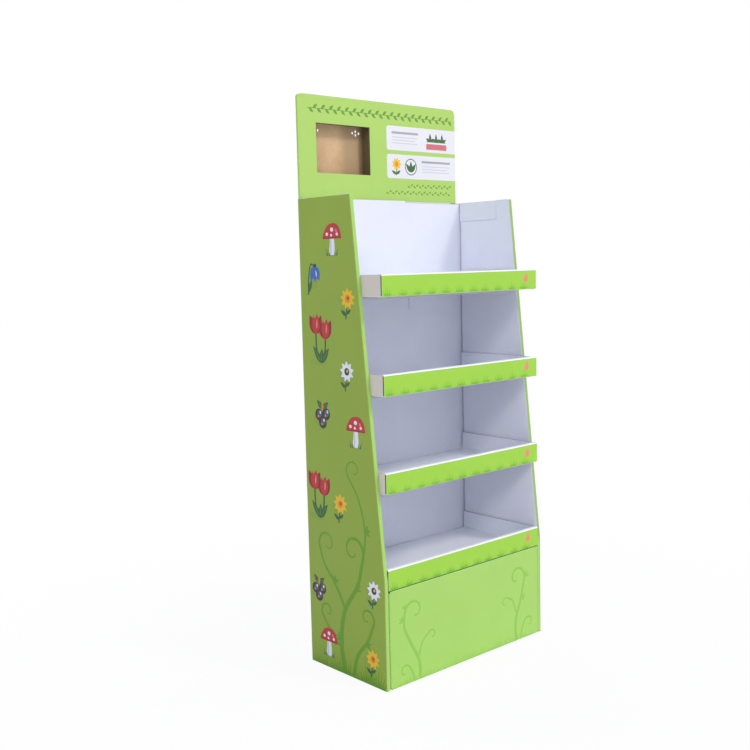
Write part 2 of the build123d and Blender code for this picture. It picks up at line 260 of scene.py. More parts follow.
def blade(x, z, height, lean, width, steps=6):
    """Blade of grass: it leans by the square of its height and narrows evenly to a tip."""
    t = np.linspace(0, 1, steps)
    line = np.stack([x + lean * t ** 2, z + height * t], 1)
    half = np.outer(width / 2 * (1 - t), (1, 0))
    return np.concatenate([line + half, (line - half)[-2::-1]])


def blossom(x, z, radius, petals, depth, steps=20):
    """Flower outline: r = radius (1 - depth + depth |cos(petals t / 2)|)."""
    t = np.linspace(0, 2 * np.pi, steps, endpoint=False)
    r = radius * (1 - depth + depth * np.abs(np.cos(petals * t / 2)))
    return np.stack([r * np.cos(t), r * np.sin(t)], 1) + (x, z)


def field(x0, x1, z0, z1, left_r=0.0, right_r=0.0, steps=6):
    """Rectangle with rounded corners, the left and right pairs each with its own radius."""
    parts = []
    corners = ((x1, z1, right_r), (x0, z1, left_r), (x0, z0, left_r), (x1, z0, right_r))
    for i, (x, z, r) in enumerate(corners):
        t = np.radians(90 * i + np.linspace(0, 90, steps if r else 1))
        turn = np.stack([np.cos(t), np.sin(t)], 1)
        parts.append((x, z) + r * (turn - np.sign(turn.mean(0))))
    return np.concatenate(parts)


# Printed shapes, each a list of (ink, outline). Motifs are drawn about zero on a scale of one.


def fan(ink, x, z, reach, width, angles):
    """Equal leaves that spread from one point."""
    return [(ink, leaf(x, z, reach, width, angle)) for angle in angles]


def vein(z, start, end, angle):
    """Light rib of a leaf that grows from (0, z)."""
    return "vine", ribbon(turned(np.array([(start, 0.0), (end, 0.0)]), angle, 0, z), 0.016, 0.008)


def tuft(x, z, height, width, blades, random, ink):
    """Fan of grass blades from one foot, tallest in the middle, each varied a little."""
    places = np.linspace(-1, 1, blades)
    tall = height * (1 - 0.45 * places ** 2) * random.uniform(0.75, 1.05, blades)
    lean = places * width * 0.35 + random.uniform(-0.1, 0.1, blades) * width
    return [(ink, blade(x + p * width / 2.6, z, h, bend, max(1.6, width * 0.13)))
            for p, h, bend in zip(places, tall, lean)]


def vines(ink, stems, sprigs, reach):
    """Tendrils given as (points, radius, sweep, widths) and sprigs of three leaves given as (x, z, angle)."""
    shapes = [(ink, ribbon(tendril(*stem), *widths)) for *stem, widths in stems]
    for x, z, angle in sprigs:
        shapes += fan(ink, x, z, reach, reach * 0.34, (angle - 38, angle, angle + 38))
    return shapes


def leaf_row(start, end, step, z, reach, width, angle):
    """Row of leaves that point down and up by turns."""
    return [("moss", leaf(x, z, reach, width, angle if i % 2 else -angle))
            for i, x in enumerate(np.arange(start, end, step))]


def tulips():
    """Two cupped flowers side by side, each of four petals with a light edge, over dark leaves."""
    shapes = [("shade", oval(0.1, -0.5, 0.26, 0.07, steps=14))]
    for side, tall in ((-0.14, 0.0), (0.15, 0.09)):
        foot = tall - 0.05
        shapes += [("forest", stalk([(0.3 * side, -0.5), (0.9 * side, -0.24), (side, tall)], 0.05, 0.045)),
                   *fan("wine", side, foot, 0.42, 0.21, (116, 64)), ("red", leaf(side, foot, 0.41, 0.2, 98)),
                   ("red", leaf(side, foot, 0.38, 0.15, 80)),
                   ("coral", leaf(side - 0.03, tall + 0.06, 0.2, 0.045, 96))]
    for angle, reach in ((128, 0.4), (54, 0.42), (95, 0.3)):
        shapes += [("forest", leaf(0, -0.52, reach, 0.13, angle)), vein(-0.52, 0.06, 0.75 * reach, angle)]
    return shapes


def daisy(ink):
    """Flower of nine separate petals round a dotted middle, with two leaves on its stalk."""
    middle, dot = ("charcoal", "yellow") if ink == "pale" else ("amber", "red")
    return [("shade", oval(0.06, -0.08, 0.33, 0.3)),
            ("forest", stalk([(0.1, -0.62), (0.05, -0.3), (0, 0)], 0.06, 0.05)),
            ("forest", leaf(0.07, -0.52, 0.32, 0.13, 35)), ("forest", leaf(0.07, -0.46, 0.26, 0.11, 148)),
            *fan(ink, 0, 0, 0.34, 0.17, range(8, 368, 40)), (middle, oval(0, 0, 0.12, 0.12)),
            (dot, oval(-0.02, 0.02, 0.05, 0.05))]


def toadstool():
    """Red cap with a dark rim and pale spots on a pale foot, standing in grass."""
    t = np.linspace(0, np.pi, 18)
    foot = smooth_line([(0.02, -0.44), (0.0, -0.2), (0.0, 0.02)])
    return [("shade", oval(0.08, -0.43, 0.26, 0.06, steps=14)), ("pale", ribbon(foot, 0.24, 0.15)),
            ("grey", ribbon(foot + (0.05, 0), 0.06, 0.04)),
            ("wine", np.stack([0.37 * np.cos(t), 0.39 * np.sin(t) - 0.03 * np.sin(2 * t) - 0.03], 1)),
            ("red", np.stack([0.35 * np.cos(t) - 0.01, 0.36 * np.sin(t)], 1)),
            ("coral", oval(-0.17, 0.17, 0.05, 0.03, 50, steps=10)),
            *(("pale", oval(a, b, r, 0.9 * r, steps=12)) for a, b, r in
              ((-0.2, 0.08, 0.045), (0.0, 0.2, 0.062), (0.2, 0.09, 0.05), (0.03, 0.06, 0.04))),
            *(("forest", blade(a, -0.46, tall, lean, 0.05)) for a, tall, lean in
              ((-0.18, 0.2, -0.07), (-0.1, 0.14, 0.0), (0.12, 0.17, 0.03), (0.2, 0.22, 0.08)))]


def berries():
    """Three dark berries, each with a light spot and a bright calyx, under two veined leaves."""
    shapes = [("shade", oval(0.06, -0.22, 0.33, 0.32))]
    for a, b in ((-0.17, -0.06), (0.16, -0.1), (0.0, -0.32)):
        shapes += [("charcoal", oval(a, b, 0.18, 0.18)),
                   ("slate", oval(a - 0.03, b + 0.03, 0.11, 0.11, steps=14)),
                   ("pale", oval(a - 0.06, b + 0.07, 0.035, 0.05, steps=8)),
                   ("amber", blossom(a + 0.04, b - 0.05, 0.05, 5, 0.5))]
    for angle in (142, 46):
        shapes += [("forest", leaf(0, 0.08, 0.36, 0.17, angle)), vein(0.08, 0.04, 0.28, angle)]
    return shapes + [("amber", leaf(0, 0.06, 0.22, 0.1, 95))]


def bluebell():
    """Blue bell of three lobes that hangs from a bent stalk with one leaf."""
    return [("shade", oval(0.0, -0.12, 0.22, 0.22)),
            ("forest", stalk([(0.22, -0.5), (0.2, -0.1), (0.1, 0.3), (-0.08, 0.26)], 0.06, 0.04)),
            ("forest", leaf(0.21, -0.45, 0.42, 0.13, 112)),
            *fan("blue", -0.08, 0.28, 0.44, 0.24, (245, 295, 270)),
            ("pale", leaf(-0.12, 0.16, 0.2, 0.04, 262)), ("charcoal", leaf(-0.08, 0.34, 0.12, 0.14, 270))]


def side_artwork():
    """Motifs, vines and grass of a side panel, laid out in depth and height."""
    random = draws(0)
    shapes = vines("vine", (
        ([(-4, -6), (10, 80), (-6, 170), (-60, 250), (-84, 326)], 40, -350, (18, 3.5)),
        ([(-34, -6), (-52, 60), (-94, 112), (-118, 160)], 27, -330, (13, 3)),
        ([(-8, 178), (30, 236), (72, 280), (90, 326)], 34, 330, (10, 3)),
        ([(8, 66), (48, 96), (84, 138)], 25, 320, (9, 3)),
        ([(-70, 284), (-94, 380), (-74, 470), (-32, 530)], 28, 330, (8, 2.6)),
    ), ((12, 92, 20), (-52, 240, 150), (34, 238, 110), (-93, 396, 165), (-86, 102, 165)), 24)
    for x in np.arange(Y_FRONT + 20, Y_BACK - 10, 42):
        tall = 30 + 46 * random.random()
        shapes += tuft(x + 12 * random.random(), -1, tall, 56, 7, random, "vine")
    for motif, x, z, scale in (
            (toadstool(), 62, 74, 96), (daisy("pale"), -122, 250, 78), (berries(), 98, 216, 84),
            (daisy("yellow"), -112, 70, 78), (tulips(), 84, 470, 132), (daisy("yellow"), 0, 452, 82),
            (toadstool(), -68, 650, 98), (berries(), 62, 686, 88), (daisy("pale"), -40, 796, 80),
            (tulips(), 60, 880, 132), (daisy("yellow"), -50, 978, 82), (bluebell(), 84, 1034, 96),
            (toadstool(), 4, 1130, 98)):
        shapes += [(ink, outline * scale + (x, z)) for ink, outline in motif]
    return shapes


def lip_artwork(face_z):
    """Green face with a grass border along its foot and one small bud, laid out in width and sheet length."""
    random = draws(1)
    top = face_z + LIP_H - FOLD_R - size("lip_margin")
    shapes = [("lip", field(-TRAY_X - PAST, TRAY_X + PAST, -50, top))]
    pitch = size("tuft_pitch")
    foot = face_z + 4
    for x in np.arange(-TRAY_X + 20, TRAY_X - 20, pitch):
        x += pitch * random.uniform(-0.08, 0.08)
        tall = size("tuft_height") * random.uniform(0.8, 1.1)
        shapes.append(("grass", oval(x, foot + 0.5, pitch * random.uniform(0.24, 0.34), 2.6, steps=12)))
        shapes += tuft(x, foot, tall, pitch * 0.5, 5, random, "grass")
        for side in (-1, 1):
            aside = x + side * pitch * random.uniform(0.22, 0.32)
            shapes += tuft(aside, foot, tall * random.uniform(0.35, 0.7), pitch * 0.34, 3, random, "grass")
    for angle, reach, wide, ink in ((152, 21, 7, "coral"), (134, 20, 9, "coral"), (112, 23, 9, "coral"),
                                    (94, 26, 8, "coral"), (100, 12, 4, "amber")):
        shapes.append((ink, leaf(TRAY_X - 38, face_z + 21, reach, wide, angle)))
    return shapes


def base_artwork():
    """Faint vines that rise from the foot of the base panel, with grass, laid out in width and height."""
    random = draws(2)
    shapes = vines("faint", (
        ([(-186, -8), (-188, 50), (-216, 104), (-238, 150), (-236, 186)], 34, -270, (11, 4.5)),
        ([(-206, -8), (-210, 22), (-222, 44)], 19, 250, (7, 3)),
        ([(-190, 60), (-176, 96), (-150, 118)], 15, -240, (6, 3)),
        ([(192, -8), (188, 56), (210, 116), (226, 172)], 34, 280, (11, 4.5)),
        ([(190, 84), (176, 120), (152, 134)], 15, 220, (6, 3)),
        ([(210, -8), (214, 26), (226, 50)], 20, -240, (7, 3)),
    ), ((-240, 168, 150), (-232, 196, 100), (230, 178, 40), (214, 122, -10)), 18)
    for x in np.arange(-262, 270, 34):
        shapes += tuft(x + 9 * random.random(), -2, 14 + 20 * random.random(), 38, 7, random, "faint")
    return shapes


def header_artwork():
    """Garland, white fields with plain bars and flowers, and rows of leaves, laid out in width and height."""
    shapes = leaf_row(-262, 252, 13.5, 1466, 18, 8, 38)
    shapes.append(("moss", ribbon([(-268, 1466), (262, 1466)], 1.6, 1.6)))
    shapes += [("white", field(7, 320, z0, z1, left_r=8)) for z0, z1 in ((1374, 1440), (1297, 1363))]
    for x0, x1, z in ((26, 128, 1422), (140, 256, 1346)):
        shapes.append(("stone", field(x0, x1, z - 3, z + 3)))
        shapes += [("grey", field(x0 + 2, x1 - 3 - 9 * (i % 2), z - 13.6 - 8 * i, z - 11 - 8 * i))
                   for i in range(3)]
    for x in (176, 200, 224):
        shapes += [("forest", leaf(x, 1404, reach, 9, angle))
                   for angle, reach in ((30, 19), (90, 24), (150, 19))]
    shapes += [("forest", ribbon([(162, 1404), (238, 1404)], 2.4, 2.4)),
               ("rose", field(160, 242, 1382, 1398, 3, 3)),
               ("forest", stalk([(40, 1305), (42, 1318), (43, 1334)], 3, 2.4)),
               *fan("forest", 41, 1308, 20, 8, (35, 148)),
               *fan("yellow", 43, 1336, 18.5, 9.5, range(0, 360, 40)), ("amber", oval(43, 1336, 6.5, 6.5)),
               ("forest", oval(98, 1330, 23, 23, steps=32)), ("white", oval(98, 1330, 20.5, 20.5, steps=32)),
               *fan("forest", 98, 1315, 31, 12, (52, 90, 128))]
    return shapes + leaf_row(84, 252, 11, 1277, 11.5, 4.6, 28) + leaf_row(2, 252, 11, 1258, 11.5, 4.6, 28)


def mirrored(shapes, x, z=0.0):
    """Shapes turned left to right, then moved to (x, z)."""
    return [(ink, outline * (-1, 1) + (x, z)) for ink, outline in shapes]


# Folding and cutting


class Wrap:
    """Section line of straight runs with right turns of 90 degrees between them, rounded by FOLD_R.

    It is walked by its length s. Each piece starts at p with unit tangent T and curvature k, and its left
    side L faces out: place = p + t (T sinc(k t) + L sin(k t / 2) sinc(k t / 2)), with sinc(a) = sin(a) / a,
    and normal = L cos(k t) - T sin(k t).
    """

    def __init__(self, corners):
        points = np.array(corners, float)
        runs = np.diff(points, axis=0)
        lengths = np.hypot(*runs.T)
        turns = len(runs) - 1
        self.tangent = np.repeat(runs / lengths[:, None], 2, axis=0)[:-1]
        shift = FOLD_R * np.array([0] + [-1, 1] * turns)[:, None]
        self.start = np.repeat(points[:-1], 2, axis=0)[1:] + self.tangent * shift
        self.curve = np.array([0] + [-1 / FOLD_R, 0] * turns)
        reach = np.repeat(lengths, 2)[:-1] - 2 * FOLD_R
        reach[[0, -1]] += FOLD_R
        reach[1::2] = FOLD_R * math.pi / 2
        self.begin = np.append(0, np.cumsum(reach))
        self.arcs = self.begin[1:-1].reshape(-1, 2)

    def at(self, s):
        """Places and outward normals at the lengths s."""
        i = np.clip(np.searchsorted(self.begin, s, side="right") - 1, 0, len(self.curve) - 1)
        t = (s - self.begin[i])[:, None]
        turn = self.curve[i][:, None] * t
        half = turn / 2
        tangent = self.tangent[i]
        left = tangent[:, ::-1] * (-1, 1)
        aside = np.sin(half) * np.sinc(half / np.pi)
        place = self.start[i] + t * (tangent * np.sinc(turn / np.pi) + left * aside)
        return place, left * np.cos(turn) - tangent * np.sin(turn)

    def folds(self, low, high, flip=False, span=(-math.inf, math.inf)):
        """Lines from low to high that divide the sheet across each arc and just beyond it, inside a span."""
        places = [s for a, b in self.arcs for s in (a - CREASE, *np.linspace(a, b, FOLD_LINES), b + CREASE)]
        return [[(low, s), (high, s)] if flip else [(s, low), (s, high)]
                for s in places if span[0] < s < span[1]]

    def crease(self, s):
        """One on each arc, falling to zero beyond it."""
        gaps = [np.maximum(a - s, s - b) for a, b in self.arcs]
        return np.clip(1 - np.min(gaps, axis=0) / CREASE, 0, 1)


def anticlockwise(outline):
    """Outline turned round if its area, half the sum of x1 z2 - x2 z1, is negative."""
    loop = np.asarray(outline, float)
    ahead = np.roll(loop, -1, axis=0)
    area = (loop[:, 0] * ahead[:, 1] - ahead[:, 0] * loop[:, 1]).sum()
    return loop if area > 0 else loop[::-1]


def cut_blank(ground, outline, folds, shapes):
    """Divides a flat blank into triangles that follow its outline, its folds and every printed outline.

    Returns the points, the triangles and the ink of each; a shape with no ink is a hole.
    """
    inks, loops = zip((ground, outline), *shapes)
    loops = [anticlockwise(loop) for loop in loops]
    ends = np.cumsum([len(loop) for loop in loops])
    rings = [list(range(end - len(loop), end)) for loop, end in zip(loops, ends)]
    lines = [(int(ends[-1]) + 2 * i, int(ends[-1]) + 2 * i + 1) for i in range(len(folds))]
    points = np.concatenate(loops + [np.asarray(f, float) for f in folds])
    made = geometry.delaunay_2d_cdt([Vector(p) for p in points.tolist()], lines, rings, 1, 1e-4, True)
    kept = [(triangle, inks[max(owners)]) for triangle, owners in zip(made[2], made[5]) if 0 in owners]
    triangles, printed = zip(*(pair for pair in kept if pair[1] is not None))
    used, triangles = np.unique(np.array(triangles), return_inverse=True)
    return np.array([tuple(p) for p in made[0]])[used], triangles.reshape(-1, 3), printed


def thick_sheet(places, normals, triangles, proud):
    """Closes a sheet: a top and an underside at plus and minus proud, with a wall along every free edge."""
    a, b, c = places[triangles.T]
    facing = (np.cross(b - a, c - a) * normals[triangles[:, 0]]).sum()
    front = triangles if facing > 0 else triangles[:, ::-1]
    count = len(places)
    edges = np.concatenate([front[:, [0, 1]], front[:, [1, 2]], front[:, [2, 0]]])
    keys = edges[:, 0] * count + edges[:, 1]
    free = edges[~np.isin(keys, edges[:, 1] * count + edges[:, 0])]
    walls = np.concatenate([free[:, ::-1], free + count], axis=1)
    points = np.concatenate([places + normals * proud, places - normals * proud])
    return points, [*front.tolist(), *(front[:, ::-1] + count).tolist(), *walls.tolist()]


def add_object(name, data):
    """New object in the scene."""
    thing = bpy.data.objects.new(name, data)
    bpy.context.scene.collection.objects.link(thing)
    return thing


def add_piece(name, points, faces, materials, indices, crease=None):
    """Writes a mesh with its materials in the row frame and fixes it to the stand."""
    mesh = bpy.data.meshes.new(name)
    mesh.from_pydata((np.array(points) * MM).tolist(), [], faces)
    for material in materials:
        mesh.materials.append(material)
    mesh.polygons.foreach_set("material_index", indices)
    if crease is not None:
        mesh.attributes.new("crease", "FLOAT", "POINT").data.foreach_set("value", crease)
    mesh.validate()
    piece = add_object(name, mesh)
    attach(piece, "root")


def printed_paper(name, ground, outline, folds, shapes, place, crease):
    """Piece of printed paper on the board: cut flat with its artwork, folded by place and closed."""
    flat, triangles, printed = cut_blank(ground, outline, folds, shapes)
    points, faces = thick_sheet(*place(flat), triangles, size("paper"))
    used = ["pale"] + sorted(set(printed) - {"pale"})
    indices = [used.index(ink) for ink in printed] + [0] * (len(faces) - len(printed))
    worn = np.tile(crease(flat), 2).tolist()
    add_piece(name, points, faces, [printed_ink(ink) for ink in used], indices, worn)


# Materials


def node(tree, kind, inputs=(), **settings):
    """Adds a shader node, sets its fields, and gives its inputs values or links from outputs or nodes."""
    made = tree.nodes.new("ShaderNode" + kind)
    for key, value in settings.items():
        setattr(made, key, value)
    for key, value in dict(inputs).items():
        if isinstance(value, bpy.types.Node):
            value = next(output for output in value.outputs if output.enabled)
        if isinstance(value, bpy.types.NodeSocket):
            tree.links.new(value, made.inputs[key])
        else:
            made.inputs[key].default_value = value
    return made


def rgba(values, factor=1.0):
    """Linear colour, or hex code, made darker or lighter by a factor, with full alpha."""
    values = linear(values) if isinstance(values, str) else values
    return (*(min(1.0, v * factor) for v in values), 1.0)


def new_material(name):
    """Empty node material with its tree, and the coordinates that its patterns are laid out in."""
    material = bpy.data.materials.new(name)
    material.use_nodes = True
    tree = material.node_tree
    tree.nodes.clear()
    return material, tree, node(tree, "TexCoord").outputs["Object"]


def paper_surface(tree, where, base, layers, pitch, strength, roughness, fibre_scale, axes="XY"):
    """Surface of paper on corrugated board: a base colour with layers over it, given as (mask, colour).

    The fluting presses faint ribs into it, one pitch apart across the axes, and its fibres are 1 to 2 mm.
    """
    for mask, over in layers:
        base = node(tree, "Mix", {"Factor": mask, "A": base, "B": over}, data_type="RGBA")
    # At a scale of one the wave node's bands are 2 pi / 20 apart
    scale = 2 * math.pi / 20 / (pitch * MM)
    waves = [node(tree, "TexWave", {"Vector": where, "Scale": scale, "Distortion": 0.4},
                  bands_direction=axis).outputs["Fac"] for axis in axes]
    ribs = node(tree, "Math", dict(enumerate(waves)), operation="ADD")
    ribbed = node(tree, "Bump", {"Height": ribs, "Strength": strength, "Distance": 0.0002})
    fibre = node(tree, "TexNoise", {"Vector": where, "Scale": fibre_scale, "Detail": 4, "Roughness": 0.7})
    grain = node(tree, "Bump", {"Height": fibre, "Normal": ribbed, "Strength": 0.15, "Distance": 0.0002})
    surface = node(tree, "BsdfPrincipled", {"Base Color": base, "Normal": grain, "Roughness": roughness,
                                            "IOR": 1.45})
    node(tree, "OutputMaterial", {"Surface": surface})


def printed_ink(ink):
    """Litho print under matt varnish on coated paper: an even, slightly satin colour, cracked at folds."""
    name = "printed_" + ink
    if name in bpy.data.materials:
        return bpy.data.materials[name]
    material, tree, where = new_material(name)
    colours = bpy.context.scene.stand_colours
    base = getattr(colours, ink)
    # Density of the ink drifts over about 120 mm
    drift = node(tree, "TexNoise", {"Vector": where, "Scale": 8.0, "Detail": 3})
    worn = node(tree, "Attribute", attribute_name="crease").outputs["Fac"]
    # Cracks in the ink at a fold are about 2 mm long
    crack = node(tree, "TexNoise", {"Vector": where, "Scale": 420.0, "Detail": 5, "Roughness": 0.7})
    cracked = node(tree, "Math", {0: crack, 1: worn}, operation="MULTIPLY")
    mask = node(tree, "MapRange", {"Value": cracked, "From Min": 0.56, "From Max": 0.7, "To Max": 0.4})
    layers = [(drift, rgba(base, 1.04)), (mask, rgba(colours.pale))]
    paper_surface(tree, where, rgba(base, 0.95), layers, size("flute_pitch"), 0.12, 0.46, 900.0)
    return material


def between(tree, place, low, high, mask=1.0):
    """The mask, kept where a place in metres lies between two limits in millimetres."""
    for limit, side in ((low, "GREATER_THAN"), (high, "LESS_THAN")):
        inside = node(tree, "Math", {0: place, 1: limit * MM}, operation=side)
        mask = node(tree, "Math", {0: inside, 1: mask}, operation="MULTIPLY")
    return mask


def white_board(name, code, upright):
    """White-lined corrugated board, uncoated: matt, a little blue, with faint ribs and specks of fibre.

    Upright board is greyer inside its double walls, painted shade in their hollows; a tray is a warmer grey
    on its outside.
    """
    material, tree, where = new_material(name)
    # Clouds in the liner are 50 to 100 mm wide, specks of fibre under 1 mm
    clouds = node(tree, "TexNoise", {"Vector": where, "Scale": 14.0, "Detail": 5, "Roughness": 0.6})
    specks = node(tree, "TexNoise", {"Vector": where, "Scale": 1100.0, "Detail": 2})
    dark = node(tree, "MapRange", {"Value": specks, "From Min": 0.66, "From Max": 0.76, "To Max": 0.18})
    x, y, z = node(tree, "SeparateXYZ", {0: where}).outputs
    aside = node(tree, "Math", {0: x}, operation="ABSOLUTE")
    # The header's ink bleeds over its rounded left corner
    corner = between(tree, x, -X_OUT - 1, HEADER_CORNER_R - X_OUT)
    corner = between(tree, z, STAND_H - HEADER_CORNER_R, STAND_H + 1, corner)
    if upright:
        side_wall = between(tree, aside, X_IN + 0.4, X_OUT - 0.4)
        back_wall = between(tree, y, Y_BACK - WALL + 0.4, Y_BACK - 0.4)
        walls = node(tree, "Math", {0: side_wall, 1: back_wall}, operation="MAXIMUM")
        # Painted shade: greyer board inside the double walls' hollows
        axes, reverse = "XY", (between(tree, z, -1, SIDE_H - 1, walls), rgba("DCDCE6"))
    else:
        axes, reverse = "YZ", (between(tree, aside, TRAY_X - 0.5, TRAY_X + 5), rgba("E3DBCC"))
    layers = [(clouds, rgba(code, 1.04)), (dark, rgba("B9AE9F")), reverse,
              (corner, rgba(bpy.context.scene.stand_colours.header))]
    paper_surface(tree, where, rgba(code, 0.94), layers, size("flute_pitch"), 0.16, 0.62, 700.0, axes)
    return material


def brown_board():
    """Unbleached kraft board: matt brown, long darker fibres and paler flecks, with painted shade and a
    painted shadow in the screen box.
    """
    material, tree, where = new_material("brown_kraft_board")
    # Fibres run up the sheet, 1 mm wide and 9 mm long, coarser than real ones so that they show
    stretched = node(tree, "Mapping", {"Vector": where, "Scale": (1.0, 1.0, 0.12)})
    fibres = node(tree, "TexNoise", {"Vector": stretched, "Scale": 900.0, "Detail": 4})
    clouds = node(tree, "TexNoise", {"Vector": where, "Scale": 22.0, "Detail": 4})
    mixed = node(tree, "Math", {0: fibres, 1: clouds}, operation="ADD")
    share = node(tree, "MapRange", {"Value": mixed, "From Min": 0.5, "From Max": 1.5})
    place = node(tree, "SeparateXYZ", {0: where}).outputs
    # Painted shadow of the window's right edge: the card darkens from 150 to 105 mm left of the middle
    card_shadow = node(tree, "MapRange", {"Value": place["X"], "From Min": -0.15, "From Max": -0.105,
                                   "To Max": 0.62}, interpolation_type="SMOOTHSTEP")
    # Painted shade: behind the window the box's four walls are dark, and so are the card's last 18 mm at the
    # right
    card = SCREEN_HIGH[1] - THIN_BOARD
    end = node(tree, "MapRange", {"Value": place["X"], "From Min": (WINDOW[1] - 16) * MM,
                                  "From Max": (WINDOW[1] + 2) * MM, "To Max": 0.9})
    walls = between(tree, place["Y"], Y_BACK - BOARD, card - 0.2)
    face = between(tree, place["Y"], card - 0.2, card + 0.2, end)
    dark = node(tree, "Math", {0: walls, 1: face}, operation="MAXIMUM")
    margin = WINDOW_MARGIN + THIN_BOARD / 2
    for axis, low, high in (("X", *WINDOW[:2]), ("Z", *WINDOW[2:])):
        dark = between(tree, place[axis], low - margin, high + margin, dark)
    layers = [(share, rgba("EACB9F")), (card_shadow, rgba("A38B68")), (dark, rgba("6E5F40"))]
    paper_surface(tree, where, rgba("C6A072"), layers, size("thin_flute_pitch"), 0.2, 0.75, 500.0)
    return material


def cut_paper(name, code):
    """Raw cut edge of the liners and the fluting: torn fibre, fully matt."""
    name += "_" + code
    if name in bpy.data.materials:
        return bpy.data.materials[name]
    material, tree, where = new_material(name)
    torn = node(tree, "TexNoise", {"Vector": where, "Scale": 1500.0, "Detail": 3})
    base = node(tree, "Mix", {"Factor": torn, "A": rgba(code, 0.7), "B": rgba(code, 1.2)}, data_type="RGBA")
    rough = node(tree, "Bump", {"Height": torn, "Strength": 0.4, "Distance": 0.0002})
    surface = node(tree, "BsdfPrincipled", {"Base Color": base, "Normal": rough, "Roughness": 0.9})
    node(tree, "OutputMaterial", {"Surface": surface})
    return material


# Cut edges of the corrugated board


def ring_quads(n, m):
    """Quads between n rings of m points each."""
    i, j = np.meshgrid(np.arange(n - 1), np.arange(m), indexing="ij")
    k = (j + 1) % m
    return np.stack([i * m + j, i * m + k, (i + 1) * m + k, (i + 1) * m + j], -1).reshape(-1, 4)


def bar(start, axes, line, half, low, high):
    """Closed bar along a line of (length, offset) pairs, half wide each side and from low to high outwards.

    The axes are the directions of length, offset and outwards.
    """
    side = across_line(line) * half
    rings = np.stack([np.insert(line + offset, 2, height, axis=1) @ axes + start for offset, height in
                      ((side, low), (side, high), (-side, high), (-side, low))], 1)
    points = rings.reshape(-1, 3)
    faces = np.concatenate([ring_quads(len(line), 4), [[3, 2, 1, 0], len(points) + np.arange(-4, 0)]])
    a, b, c, d = points[faces.T]
    volume = (np.cross(c - a, d - b) * (a + b + c + d)).sum()
    return points, faces[:, ::-1] if volume < 0 else faces


def cut_edge(place, across, out, pitch=None, thickness=BOARD):
    """Cut edge of board: a dark ground, painted shade of the flutes' hollows, two liners, and the fluting as
    the wave a sin(2 pi s / pitch).

    The place is its x, y and z, of which the one along the edge is a (from, to) pair. Without a pitch the
    edge runs along the flutes, and only the two liners show.
    """
    start, end = np.stack([np.broadcast_to(v, 2) for v in place], 1)
    reach = np.linalg.norm(end - start)
    axes = np.array([(end - start) / reach, across, out])
    liner, relief = size("liner"), size("relief")
    straight = np.array([(0.0, 0.0), (reach, 0.0)])
    parts = [(0, straight, (thickness - liner) / 2, relief / 4)]
    parts += [(1, straight + (0, side * (thickness - liner) / 2), liner / 2, relief) for side in (-1, 1)]
    if pitch:
        s = np.arange(0, reach, pitch / 10)
        wave = np.stack([s, (thickness / 2 - liner * 1.4) * np.sin(2 * np.pi * s / pitch)], 1)
        parts.append((2, wave, liner * 0.45, relief))
    # Each bar's foot is sunk 0.1 mm into the board
    return [(index, *bar(start, axes, line, half, -0.1, high)) for index, line, half, high in parts]


def add_cut_edges(name, runs, slot, liner="DEDCDA", flute_shade="6A6468", fluting="A39C94"):
    """One piece that holds the cut edges given as (place, across, out, pitch, thickness)."""
    points, faces, indices = [], [], []
    for run in runs:
        for index, corners, quads in cut_edge(*run):
            faces += (quads + len(points)).tolist()
            points += corners.tolist()
            indices += [index] * len(quads)
    # The dark ground's colour is painted shade in the hollows of the fluting
    materials = [cut_paper("edge_hollow", flute_shade), cut_paper("edge_liner", liner),
                 cut_paper("edge_fluting", fluting)]
    add_piece(name, points, faces, materials, indices)


def side_front(z):
    """Depth position of a side panel's front edge at height z."""
    return Y_FRONT + np.maximum(0.0, z - KNEE_H) * LEAN


# Operators


class STAND_OT_board_finish(bpy.types.Operator):
    """Give every board of the stand its paper finish"""

    bl_idname = "stand.board_finish"
    bl_label = "Board finish"

    def execute(self, context):
        upright = white_board("white_lined_board", "EDF0FA", True)
        brown = brown_board()
        finishes = {
            # Painted light: the trays' board is a little lighter and bluer than the upright board, for the
            # light on the floors
            "shelf_tray": white_board("white_lined_tray_board", "EEF3FF", False),
            # Painted shade: the supports' board is a darker grey, for the shade under the lips
            "shelf_support": white_board("grey_lined_support_board", "BDBBBB", False),
            "base_front": printed_ink("lime"),
            "base_divider": brown,
            "screen_box": brown,
        }
        for name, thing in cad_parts.items():
            finish = next((made for start, made in finishes.items() if name.startswith(start)), upright)
            for place in thing.material_slots:
                place.material = finish
        return {"FINISHED"}


